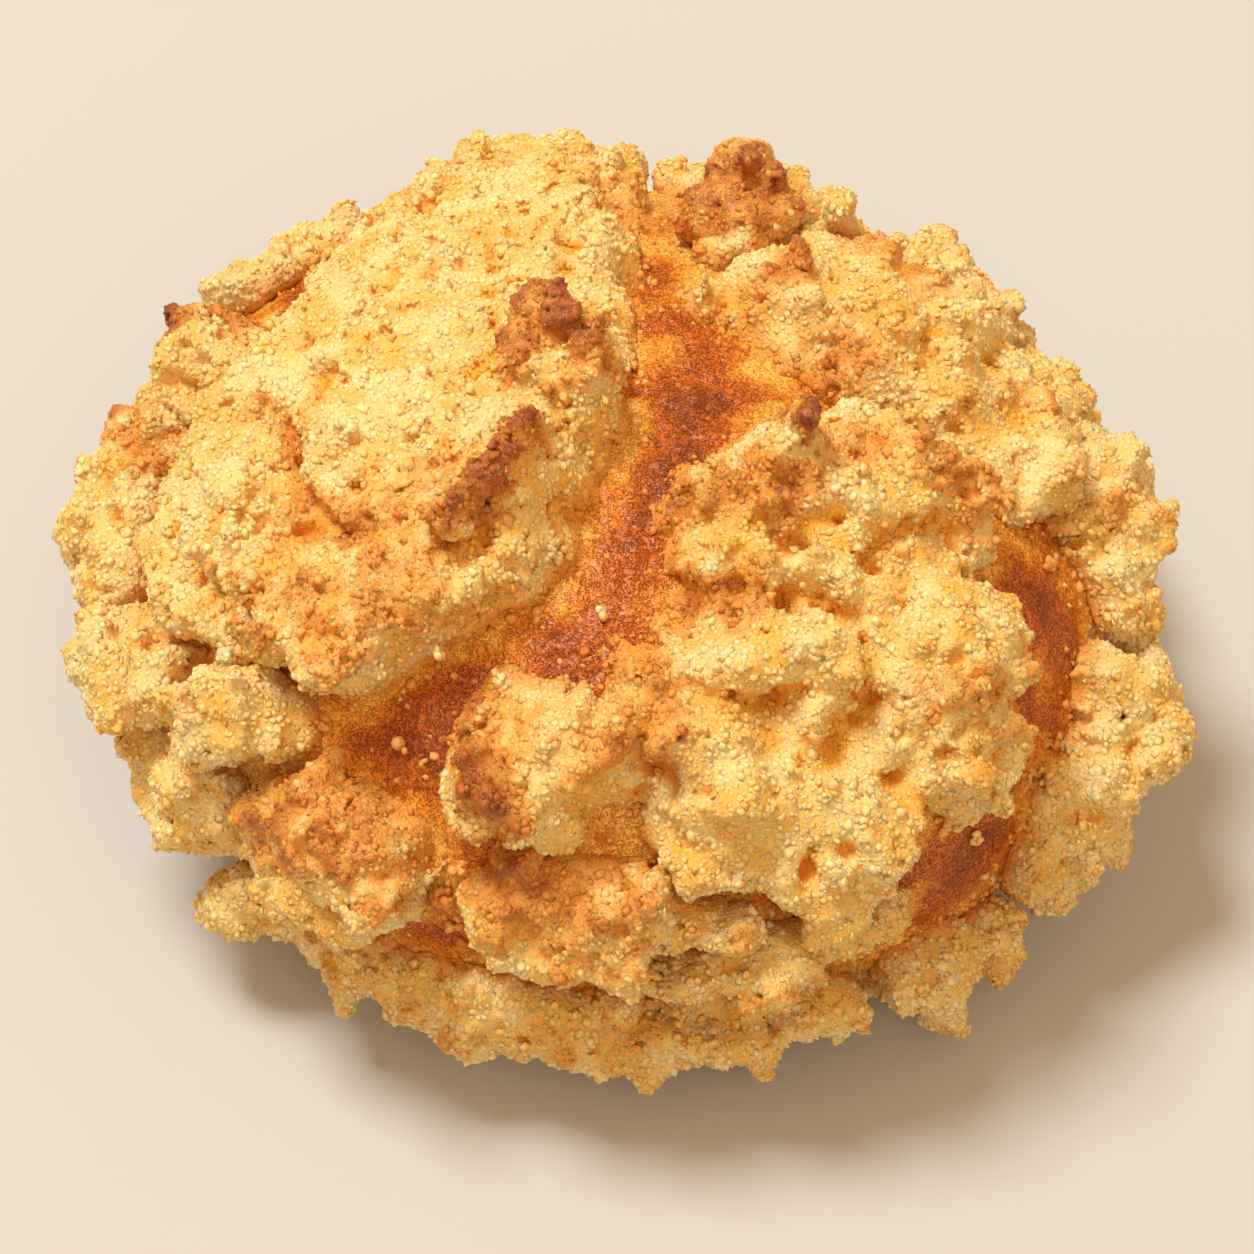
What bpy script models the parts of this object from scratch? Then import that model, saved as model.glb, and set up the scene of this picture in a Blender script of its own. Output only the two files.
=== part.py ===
"""A streusel bun: a soft round bread with a thick crumb crust that has cracked into plates.

Metres, +Z up. The bun stands on its flat baked base at z = 0, centred on its own box, and its
front is towards -Y. The bread is one solid, and each plate of crust is a solid of its own that
lies on the bread with a hair of clearance.
"""

import math
from collections import namedtuple

import bmesh
import bpy
import numpy as np
from mathutils import Matrix, Vector, noise

MM = 0.001

# The bread: a flattened dome, fuller than an ellipse, that curves in again to its flat base.
BREAD_LONG = 107.4 * MM
BREAD_SHORT = 99.0 * MM
BREAD_TURN = math.radians(-20.0)  # the way its length runs in plan, from +X
BREAD_TOP = 53.0 * MM
BELT_HEIGHT = 19.0 * MM  # where it is widest
UNDER_DEPTH = 30.0 * MM  # how far below the belt the whole dome would close
DOME_POWER = 2.25  # 2 is an ellipse, more is fuller
BASE_ROUNDING = 9.0  # how tightly the side turns into the base
BASE_TRIM = 1.04  # the rounded base is cut off flat at 1 / 1.04 of its depth
DOUGH_LUMP = 0.6 * MM
DOUGH_LUMP_SIZE = 22.0 * MM
BREAD_FINENESS = 4  # each step halves the triangles' sides

# The crust: how its plates sit on the bread, how ragged they are, and how rough on top.
CLEARANCE = 0.3 * MM  # between a plate and the bread
CRACK = 2.0 * MM  # between the outlines of neighbouring plates
FOOT_HEIGHT = 2.4 * MM  # the crust stops this far above the floor
CORNER_POWER = 2.8  # a crag's outline: 2 is an ellipse, more is squarer
RAGGED = 1.9 * MM
RAGGED_SIZE = 6.5 * MM
CRAG_RISE = 2.3 * MM
CRAG_SIZE = 8.5 * MM
HALF_SHARE = 0.55  # the smaller swells, as a share of the larger ones they lie on
CRAG_MERGE = 7  # how sharply two crags that meet keep their own heights
SHOULDER = 1.15  # above 1, a crag keeps some height on its own outline
THINNEST = 1.5 * MM
CRUST_FINENESS = 5

# A plate's rim, from its top edge down: shares of its thickness, and how far its lip hangs out.
RIM_SHARE = 0.72
LIP_SHARE = 0.42
LIP_REACH = 0.55 * MM

SMALLEST_STEP = 0.2  # no cut comes nearer to a grid corner than this share of an edge
SLIVER = 0.1 * MM  # bread corners nearer than this to the base plane are put on it
SAME_SIDE = 0.2  # the cosine within which a place is on a crag's side of the bread
FAR_OUT = 9.0  # the spread given to places on the bread's other side
HEIGHT_SEED = 40  # sets the roughness of a plate's top apart from that of its outline

CENTRE = Vector((0.0, 0.0, BELT_HEIGHT))

# One crag of crumb: where its middle is, seen from the bread's centre (degrees round from +X, and
# degrees down from the top), its half length and half width, the way its length runs in plan
# (degrees from +X), and its thickness. Sizes are in millimetres.
Crag = namedtuple("Crag", "round down half_length half_width turn thick")

PLATES = {
    "streusel_crown": [
        Crag(158, 29, 17, 14, 0, 4.6),
        Crag(150, 45, 10, 8, 55, 3.8),
        Crag(112, 43, 18, 8, 0, 4.6),
        Crag(93, 36, 7, 12, 0, 5.8),
        Crag(215, 32, 15, 11, 0, 6.2),
        Crag(238, 43, 12, 7, 30, 7.0),
        Crag(226, 52, 10, 7, -5, 8.2),
        Crag(242, 28, 6.5, 3, 45, 10.2),
        Crag(215, 10, 5, 9, 5, 9.0),
        Crag(198, 60, 12, 10, 60, 5.2),
        Crag(180, 57, 10, 9, 80, 4.8),
        Crag(168, 58, 8, 7, 50, 7.0),
        Crag(212, 61, 11, 6, -40, 5.0),
    ],
    "streusel_right": [
        Crag(299, 34, 9, 8, 10, 7.4),
        Crag(317, 31, 4.2, 4.2, 0, 10.4),
        Crag(303, 47, 10, 9, 0, 4.4),
        Crag(326, 45, 11, 10, -30, 5.6),
        Crag(314, 61, 9, 12, 0, 7.8),
        Crag(288, 55, 15, 8, -5, 5.2),
        Crag(264, 59, 12, 6, 0, 6.2),
        Crag(254, 61, 4.5, 4.5, 0, 8.2),
        Crag(288, 70, 11, 9, 15, 6.8),
    ],
    "streusel_rear_right": [
        Crag(22, 38, 12, 9, -30, 6.4),
        Crag(12, 48, 13, 7, -40, 5.2),
        Crag(2, 52, 12, 8, -30, 5.4),
        Crag(11, 60, 6, 6, -60, 5.6),
    ],
    "streusel_top_lump": [Crag(61, 42, 7.5, 6.5, -20, 7.2)],
    "streusel_left_edge": [
        Crag(177, 67, 7, 7, 80, 5.6),
        Crag(186, 77, 8, 7, 90, 7.0),
    ],
    "streusel_left_lump": [Crag(203, 76, 8, 7, -60, 7.4)],
    "streusel_left_slab": [Crag(218, 69, 10, 6.5, -40, 5.8)],
    "streusel_left_low": [Crag(213, 85, 11, 6, -45, 5.6)],
    "streusel_front_left": [Crag(235, 79, 11, 8, -35, 7.0)],
    "streusel_front": [
        Crag(266, 78, 10, 5.5, 0, 6.8),
        Crag(279, 79, 9, 4.5, 0, 5.4),
    ],
    "streusel_band": [
        Crag(273, 87, 7, 3.5, 0, 4.8),
        Crag(289, 85, 11, 4.5, 15, 5.0),
    ],
    "streusel_skirt": [
        Crag(226, 98, 7, 5, -45, 4.8),
        Crag(239, 97, 8, 5, -30, 4.2),
        Crag(253, 98, 8, 5, -18, 4.4),
        Crag(267, 99, 8, 6, 0, 5.6),
        Crag(280, 99, 8, 6, 8, 5.8),
        Crag(293, 98, 8, 5, 22, 5.0),
    ],
    "streusel_low_right": [
        Crag(304, 98, 8, 5, 35, 5.6),
        Crag(311, 104, 6, 6, 45, 6.4),
    ],
    "streusel_right_edge": [
        Crag(339, 82, 8, 7, 70, 6.4),
        Crag(331, 87, 9, 7, 60, 6.8),
        Crag(327, 93, 8, 6.5, 50, 6.6),
    ],
    "streusel_right_lump": [
        Crag(355, 71, 7, 7, -85, 6.2),
        Crag(347, 77, 5, 5, -85, 4.6),
    ],
    "streusel_rear_edge": [
        Crag(20, 86, 9, 9, -70, 5.0),
        Crag(6, 95, 9, 7, -80, 4.8),
    ],
    "streusel_rear_high": [Crag(38, 66, 10, 7, -50, 4.2)],
    "streusel_rear_low": [
        Crag(64, 96, 9, 7, -25, 4.8),
        Crag(48, 92, 9, 8, -40, 5.4),
        Crag(42, 81, 9, 9, -50, 5.0),
    ],
    "streusel_back_right": [
        Crag(69, 70, 12, 10, -15, 4.2),
        Crag(86, 86, 11, 8, 0, 5.2),
    ],
    "streusel_back": [
        Crag(105, 68, 13, 10, 15, 4.4),
        Crag(116, 85, 12, 8, 25, 5.2),
    ],
    "streusel_back_left": [
        Crag(140, 75, 13, 9, 50, 3.8),
        Crag(152, 88, 11, 9, 60, 5.0),
    ],
    "streusel_back_low": [Crag(100, 100, 9, 5, 10, 4.6)],
}


def clear_scene():
    """Removes whatever objects the file already holds."""
    for obj in list(bpy.data.objects):
        bpy.data.objects.remove(obj, do_unlink=True)


def material(name, colour, roughness):
    """A plain non-metallic finish."""
    made = bpy.data.materials.new(name)
    made.use_nodes = True
    shader = made.node_tree.nodes["Principled BSDF"]
    shader.inputs["Base Color"].default_value = (*colour, 1.0)
    shader.inputs["Roughness"].default_value = roughness
    shader.inputs["Metallic"].default_value = 0.0
    return made


def add_object(name, mesh, finish):
    """Puts a mesh in the scene, shaded smooth apart from its sharp edges."""
    mesh.materials.append(finish)
    mesh.shade_smooth()
    mesh.set_sharp_from_angle(angle=math.radians(40.0))
    obj = bpy.data.objects.new(name, mesh)
    bpy.context.scene.collection.objects.link(obj)
    return obj


def direction(azimuth, down):
    """The unit vector that many degrees round from +X and down from the top."""
    a, p = math.radians(azimuth), math.radians(down)
    return Vector((math.sin(p) * math.cos(a), math.sin(p) * math.sin(a), math.cos(p)))


def rough(points, size, seed):
    """Noise from about -1 to 1 at each point: swells a size across, with half as big on them."""
    shift = Vector((seed * 3.7, seed * 7.1, seed * 5.3))
    spots = [Vector(p) / size + shift for p in points]
    return np.array([noise.noise(spot) + HALF_SHARE * noise.noise(spot * 2) for spot in spots])


def dome_radius(ways):
    """How far the bread reaches from its centre along each unit vector, without its lumps."""
    turned = ways @ np.array(Matrix.Rotation(BREAD_TURN, 3, "Z"))
    across = np.hypot(turned[:, 0] / (BREAD_LONG / 2), turned[:, 1] / (BREAD_SHORT / 2))
    depth = np.where(ways[:, 2] > 0, BREAD_TOP - BELT_HEIGHT, UNDER_DEPTH)
    along = np.abs(ways[:, 2]) / depth
    dome = (across**DOME_POWER + along**DOME_POWER) ** (1 / DOME_POWER)
    base = np.maximum(-ways[:, 2], 0.0) / (BELT_HEIGHT * BASE_TRIM)
    return (dome**BASE_ROUNDING + base**BASE_ROUNDING) ** (-1 / BASE_ROUNDING)


def bread_radius(ways):
    """The bread's reach with the shallow lumps of its dough."""
    reach = dome_radius(ways)
    return reach + DOUGH_LUMP * rough(ways * reach[:, None], DOUGH_LUMP_SIZE, 2)


def dome_grid(fineness):
    """Unit vectors spread evenly all round, and the triangles that join them."""
    grid = bmesh.new()
    bmesh.ops.create_icosphere(grid, subdivisions=fineness, radius=1.0)
    bmesh.ops.rotate(grid, verts=grid.verts, matrix=Matrix.Rotation(0.3, 3, (1, 2, 3)))
    grid.verts.index_update()
    ways = np.array([v.co.normalized() for v in grid.verts])
    faces = np.array([[v.index for v in face.verts] for face in grid.faces])
    grid.free()
    return ways, faces


def bread_mesh():
    """The dome's surface, cut off flat and closed at the base."""
    ways, faces = dome_grid(BREAD_FINENESS)
    body = bmesh.new()
    corners = [body.verts.new(CENTRE + Vector(way) * reach)
               for way, reach in zip(ways, bread_radius(ways))]
    for face in faces:
        body.faces.new([corners[i] for i in face])
    everything = list(body.verts) + list(body.edges) + list(body.faces)
    bmesh.ops.bisect_plane(body, geom=everything, dist=SLIVER, plane_co=(0, 0, 0),
                           plane_no=(0, 0, -1), clear_outer=True)
    for corner in body.verts:
        if corner.co.z < SLIVER:
            corner.co.z = 0.0
    rim = [edge for edge in body.edges if edge.is_boundary]
    bmesh.ops.contextual_create(body, geom=rim)
    bmesh.ops.recalc_face_normals(body, faces=body.faces)
    mesh = bpy.data.meshes.new("bread")
    body.to_mesh(mesh)
    body.free()
    return mesh


def crag_spread(crag, ways, reach):
    """For each place on the bread, its distance from the crag's middle: 1 is on its outline."""
    middle = direction(crag.round, crag.down)
    length_way = direction(crag.turn, 90.0)
    length_way = (length_way - length_way.dot(middle) * middle).normalized()
    width_way = middle.cross(length_way)
    offset = ways * reach[:, None]
    along = np.abs(offset @ np.array(length_way)) / (crag.half_length * MM)
    beside = np.abs(offset @ np.array(width_way)) / (crag.half_width * MM)
    spread = (along**CORNER_POWER + beside**CORNER_POWER) ** (1 / CORNER_POWER)
    return np.where(ways @ np.array(middle) > SAME_SIDE, spread, FAR_OUT)


def plate_cover(crags, ways, reach, seed):
    """How far inside the plate's ragged outline each place is, in metres."""
    inside = [
        (1 - crag_spread(crag, ways, reach)) * min(crag.half_length, crag.half_width) * MM
        for crag in crags
    ]
    return np.max(inside, axis=0) + RAGGED * rough(ways * reach[:, None], RAGGED_SIZE, seed)


def plate_height(crags, ways, reach, seed):
    """The plate's thickness at each place: the swell of its crags, and their roughness."""
    swell = 0.0
    for crag in crags:
        shoulder = np.clip(SHOULDER - crag_spread(crag, ways, reach) ** 3, 0.0, 1.0) ** 0.5
        swell = swell + (crag.thick * MM * shoulder) ** CRAG_MERGE
    roughness = rough(ways * reach[:, None], CRAG_SIZE, seed + HEIGHT_SEED)
    return np.maximum(swell ** (1 / CRAG_MERGE) + CRAG_RISE * roughness, THINNEST)


def cut_grid(ways, faces, cover):
    """The grid's triangles inside the outline, with those that it crosses cut along it.

    Returns the vectors, the triangles, and the way out of the outline at each vector that is on
    it, which is zero everywhere else.
    """
    points = list(ways)
    outward = [np.zeros(3)] * len(points)
    cuts = {}

    def crossing(inner, outer):
        if (inner, outer) not in cuts:
            step = cover[inner] / (cover[inner] - cover[outer])
            step = min(max(step, SMALLEST_STEP), 1 - SMALLEST_STEP)
            spot = ways[inner] * (1 - step) + ways[outer] * step
            way_out = ways[outer] - ways[inner]
            cuts[inner, outer] = len(points)
            points.append(spot / np.linalg.norm(spot))
            outward.append(way_out / np.linalg.norm(way_out))
        return cuts[inner, outer]

    kept = []
    for face in faces.tolist():
        state = [cover[i] > 0 for i in face]
        if all(state):
            kept.append(face)
        elif sum(state) == 1:
            k = state.index(True)
            a, b, c = face[k], face[(k + 1) % 3], face[(k + 2) % 3]
            kept.append([a, crossing(a, b), crossing(a, c)])
        elif sum(state) == 2:
            k = state.index(False)
            out, a, b = face[k], face[(k + 1) % 3], face[(k + 2) % 3]
            near, far = crossing(a, out), crossing(b, out)
            kept += [[a, b, far], [a, far, near]]
    return np.array(points), largest_island(kept), np.array(outward)


def largest_island(faces):
    """The faces of the largest connected stretch, by merging faces that share a corner."""
    owner = {}

    def root(i):
        while owner.setdefault(i, i) != i:
            owner[i] = owner[owner[i]]
            i = owner[i]
        return i

    for a, b, c in faces:
        owner[root(a)] = root(b)
        owner[root(b)] = root(c)
    roots = [root(face[0]) for face in faces]
    most = max(sorted(set(roots)), key=roots.count)
    return [face for face, island in zip(faces, roots) if island == most]


def plate_rows(spots, outward, height):
    """The corners of a plate's top, its underside and its lip, in that order.

    The lip has a corner only for the spots on the outline, and its other entries are zeros.
    """
    reach = bread_radius(spots)[:, None]
    on_rim = outward.any(axis=1)
    lean = spots + outward * (LIP_REACH / reach)
    lean = lean / np.linalg.norm(lean, axis=1)[:, None]
    share = np.where(on_rim, RIM_SHARE, 1.0)
    top = spots * (reach + (height * share)[:, None])
    under = spots * (reach + CLEARANCE)
    lip = lean * (reach + (height * LIP_SHARE)[:, None])
    return [np.array(CENTRE) + row for row in (top, under, lip)]


def outline_edges(faces):
    """The edges that only one face has, each in that face's own direction."""
    sides = {(face[k], face[(k + 1) % 3]) for face in faces for k in range(3)}
    return sorted((a, b) for a, b in sides if (b, a) not in sides)


def plate_mesh(name, crags, grid, cover, seed):
    """A closed solid: a rough top, a rim that bulges out over the bread, and a hollow underside."""
    ways, kept, outward = cut_grid(*grid, cover)
    height = plate_height(crags, ways, dome_radius(ways), seed)
    solid = bmesh.new()
    top, under, lip = [
        [solid.verts.new(place) for place in row] for row in plate_rows(ways, outward, height)
    ]
    for a, b, c in kept:
        solid.faces.new((top[a], top[b], top[c]))
        solid.faces.new((under[c], under[b], under[a]))
    for a, b in outline_edges(kept):
        for low, high in ((lip, top), (under, lip)):
            solid.faces.new((high[b], high[a], low[a]))
            solid.faces.new((high[b], low[a], low[b]))
    loose = [corner for corner in solid.verts if not corner.link_faces]
    bmesh.ops.delete(solid, geom=loose, context="VERTS")
    mesh = bpy.data.meshes.new(name)
    solid.to_mesh(mesh)
    solid.free()
    return mesh


def plate_covers(ways):
    """Each plate's cover, drawn back from its neighbours' by half a crack and kept off the floor."""
    reach = dome_radius(ways)
    covers = {
        name: plate_cover(crags, ways, reach, seed)
        for seed, (name, crags) in enumerate(PLATES.items())
    }
    above_foot = BELT_HEIGHT + ways[:, 2] * reach - FOOT_HEIGHT
    apart = {}
    for name, cover in covers.items():
        others = np.max([other for key, other in covers.items() if key != name], axis=0)
        apart[name] = np.minimum(np.minimum(cover, (cover - others - CRACK) / 2), above_foot)
    return apart


def centre_on_box(objects):
    """Shifts everything so that its box is centred over the origin."""
    points = np.array([v.co for obj in objects for v in obj.data.vertices])
    middle = (points.min(axis=0) + points.max(axis=0)) / 2
    shift = Matrix.Translation((-middle[0], -middle[1], 0.0))
    for obj in objects:
        obj.data.transform(shift)


def main():
    clear_scene()
    crust_brown = material("bread_crust", (0.42, 0.16, 0.045), 0.45)
    crumb_gold = material("streusel", (0.80, 0.56, 0.25), 0.8)
    objects = [add_object("bread", bread_mesh(), crust_brown)]
    grid = dome_grid(CRUST_FINENESS)
    covers = plate_covers(grid[0])
    for seed, (name, crags) in enumerate(PLATES.items()):
        mesh = plate_mesh(name, crags, grid, covers[name], seed)
        objects.append(add_object(name, mesh, crumb_gold))
    centre_on_box(objects)


main()
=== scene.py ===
import math

import bmesh
import bpy
import numpy as np
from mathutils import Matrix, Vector, noise
from mathutils.bvhtree import BVHTree
from mathutils.kdtree import KDTree


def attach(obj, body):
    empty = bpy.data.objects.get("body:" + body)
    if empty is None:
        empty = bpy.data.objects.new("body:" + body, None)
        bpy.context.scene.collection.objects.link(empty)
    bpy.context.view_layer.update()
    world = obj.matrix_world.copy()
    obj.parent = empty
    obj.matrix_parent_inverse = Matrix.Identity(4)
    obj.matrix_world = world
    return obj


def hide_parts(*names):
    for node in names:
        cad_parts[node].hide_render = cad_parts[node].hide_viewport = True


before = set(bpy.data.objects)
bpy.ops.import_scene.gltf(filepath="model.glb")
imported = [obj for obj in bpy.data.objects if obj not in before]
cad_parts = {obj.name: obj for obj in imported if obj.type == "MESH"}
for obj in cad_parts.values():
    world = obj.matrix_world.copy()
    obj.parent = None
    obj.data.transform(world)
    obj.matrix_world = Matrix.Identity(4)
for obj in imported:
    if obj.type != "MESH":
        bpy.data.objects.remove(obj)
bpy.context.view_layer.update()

# ---------------------------------------------------------------------------
# The roll. A sweet yeast dough, brushed with egg and baked till the skin that
# shows between the plates of crumb is a glossy red brown. It is palest at the
# foot, where the tray kept the heat off, and golden where crumb has shaded it.
# ---------------------------------------------------------------------------

MM = 0.001
ROLL_CENTRE = np.array([0.2, 0.5, 19.0]) * MM
SKIN_FINENESS = 4
SKIN_SHARE = 0.45  # of the skin's faces, kept in the finished roll
HIDDEN_SHARE = 0.03  # of those that the crumb or the table hides
HIDDEN_FROM = 5 * MM  # past the last bare skin
SHADED_WIDTH = 7.0  # mm of paler skin beside a plate
# Lumps and creases of the skin, each a width and a height in millimetres.
SKIN_LUMPS = ((9.0, 0.25), (3.2, 0.15), (1.6, 0.09))
SKIN_CREASES = ((2.4, 0.22), (1.1, 0.20))
# Cracks between the plates, as stops of degrees round from the right and down from the top.
LONG_CRACK = ((30, 20), (352, 14), (310, 18), (285, 26), (272, 40), (262, 48), (250, 56), (241, 64))
HEAD_CRACK = ((80, 50), (81, 34), (72, 21), (40, 14))
RIGHT_CRACK = ((354, 59), (346, 65), (338, 69), (332, 74), (322, 77), (314, 81), (305, 82), (298, 85))
FRONT_CRACK = ((250, 84), (262, 87), (273, 89), (284, 90), (295, 89), (303, 87))
LEFT_CRACK = ((146, 61), (158, 54), (168, 53), (174, 55), (179, 60), (182, 65))
# Where the bare skin browned, each a width in millimetres, a strength and its stops.
BROWNED_SKIN = (
    (11, 1.0, *LONG_CRACK), (8, 0.4, *HEAD_CRACK), (12, 0.6, *RIGHT_CRACK),
    (7, 0.5, *FRONT_CRACK), (7, 0.9, *LEFT_CRACK),
    (12, 1.3, (266, 47), (258, 52), (250, 58), (243, 64)),
)


def corners_of(mesh):
    """Where a mesh's vertices are, one row each."""
    places = np.empty(len(mesh.vertices) * 3, np.float32)
    mesh.vertices.foreach_get("co", places)
    return places.reshape(-1, 3).astype(float)


def normals_of(mesh):
    """Which way a mesh faces at each vertex."""
    facing = np.empty(len(mesh.vertices) * 3, np.float32)
    mesh.vertex_normals.foreach_get("vector", facing)
    return facing.reshape(-1, 3).astype(float)


def move_corners(mesh, places):
    """Puts a mesh's vertices at the given places."""
    mesh.vertices.foreach_set("co", places.astype(np.float32).ravel())
    mesh.update()


def outward(places):
    """Unit directions from the middle of the roll to each place."""
    ways = places - ROLL_CENTRE
    return ways / np.linalg.norm(ways, axis=1)[:, None]


def way(round_by, down_by):
    """The unit direction that lies so many degrees round from the right and down from the top."""
    turn, tip = math.radians(round_by), math.radians(down_by)
    return np.array([math.sin(tip) * math.cos(turn), math.sin(tip) * math.sin(turn), math.cos(tip)])


def lumpy(places, width, seed):
    """Even noise from about -1 to 1 with lumps of that width in millimetres."""
    shift = Vector((seed * 7.31, seed * 3.77, seed * 5.13))
    scaled = places / (width * MM)
    return np.array([noise.noise(Vector(p) + shift) for p in scaled])


def line_of(stops):
    """Directions a degree or so apart along a line through stops of degrees round and down."""
    ends = [way(*stop) for stop in stops]
    steps = [ends[0][None]]
    for first, last in zip(ends, ends[1:]):
        count = max(int(math.degrees(math.acos(min(1.0, float(first @ last))))), 1)
        share = np.arange(1, count + 1)[:, None] / count
        steps.append(first * (1 - share) + last * share)
    steps = np.concatenate(steps)
    return steps / np.linalg.norm(steps, axis=1)[:, None]


def closeness(places, width, stops):
    """1 on a line through the stops, falling raggedly to 0 at half the width in millimetres."""
    reach = np.linalg.norm(places - ROLL_CENTRE, axis=1)
    nearest = (outward(places) @ line_of(stops).T).max(1)
    off = np.arccos(np.clip(nearest, -1, 1)) * reach / MM
    off += 0.22 * width * lumpy(places, 0.4 * width + 1.2, 21) + 0.9 * lumpy(places, 2.2, 22)
    return np.clip(1 - (2 * off / width) ** 2, 0, 1)


def strongest(places, lines):
    """The strongest of several lines at each place, each a width, a strength and its stops."""
    each = [strength * closeness(places, width, stops) for width, strength, *stops in lines]
    return np.max(each, axis=0)


def welded_copy(node, name):
    """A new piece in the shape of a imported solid, with its corners joined."""
    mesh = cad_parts[node].data.copy()
    mesh.materials.clear()
    bm = bmesh.new()
    bm.from_mesh(mesh)
    bmesh.ops.remove_doubles(bm, verts=bm.verts, dist=1e-6)
    bm.to_mesh(mesh)
    bm.free()
    piece = bpy.data.objects.new(name, mesh)
    bpy.context.scene.collection.objects.link(piece)
    return piece


def settle(piece):
    """Turns a piece's modifiers into its mesh."""
    graph = bpy.context.evaluated_depsgraph_get()
    mesh = bpy.data.meshes.new_from_object(piece.evaluated_get(graph))
    piece.modifiers.clear()
    old = piece.data
    piece.data = mesh
    bpy.data.meshes.remove(old)
    return mesh


def mark(mesh, name, values):
    """Stores one number at each vertex, for the piece's finish to read."""
    layer = mesh.attributes.new(name, "FLOAT", "POINT")
    layer.data.foreach_set("value", np.asarray(values, np.float32))


def crumb_surface():
    """All the plates of crumb as one surface to measure from."""
    corners, faces = [], []
    for name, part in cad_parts.items():
        if name == "bread":
            continue
        first = len(corners)
        corners.extend(v.co.copy() for v in part.data.vertices)
        faces.extend([first + i for i in p.vertices] for p in part.data.polygons)
    return BVHTree.FromPolygons(corners, faces)


def tree_of(places):
    """A quick way to find the nearest of many places."""
    tree = KDTree(len(places))
    for i, place in enumerate(places):
        tree.insert(place, i)
    tree.balance()
    return tree


def coarser(piece, chosen, share):
    """Keeps only that share of the faces round the chosen corners and leaves the rest as they are."""
    piece.vertex_groups.new(name="hidden").add(np.flatnonzero(chosen).tolist(), 1.0, "REPLACE")
    fewer = piece.modifiers.new("fewer", "DECIMATE")
    fewer.vertex_group = "hidden"
    fewer.ratio = 1 - (1 - share) * chosen.mean()
    mesh = settle(piece)
    piece.vertex_groups.clear()
    return mesh


def bake_roll():
    """The roll, finely dimpled where it shows and marked with how open each part of its skin is."""
    roll = welded_copy("bread", "roll")
    finer = roll.modifiers.new("finer", "SUBSURF")
    finer.levels = finer.render_levels = SKIN_FINENESS
    places = corners_of(settle(roll))
    crumb = crumb_surface()
    ways = outward(places)
    above = [crumb.ray_cast(Vector(p), Vector(w), 30 * MM)[0] for p, w in zip(places, ways)]
    covered = np.array([hit is not None for hit in above])
    bare = tree_of(places[~covered])
    deep = np.array([covered[i] and bare.find(p)[2] > HIDDEN_FROM for i, p in enumerate(places)])
    deep &= strongest(places, BROWNED_SKIN) == 0
    mesh = coarser(roll, deep | (places[:, 2] < 0.2 * MM), HIDDEN_SHARE)
    places = corners_of(mesh)
    lift = sum(height * lumpy(places, width, 11) for width, height in SKIN_LUMPS)
    ridges = [(height, abs(lumpy(places, width, 12))) for width, height in SKIN_CREASES]
    lift -= sum(height * (1 - np.minimum(off * 5, 1)) for height, off in ridges)
    foot = np.clip(places[:, 2] / (3 * MM), 0, 1)
    move_corners(mesh, places + outward(places) * (lift * foot * MM)[:, None])
    places = corners_of(mesh)
    gap = np.array([crumb.find_nearest(Vector(p))[3] for p in places]) / MM
    browned = strongest(places, BROWNED_SKIN)
    mark(mesh, "open_skin", np.clip(np.maximum(gap / SHADED_WIDTH, browned), 0, 1))
    mesh = coarser(roll, np.ones(len(places), bool), SKIN_SHARE)
    mesh.shade_smooth()
    return roll


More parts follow.
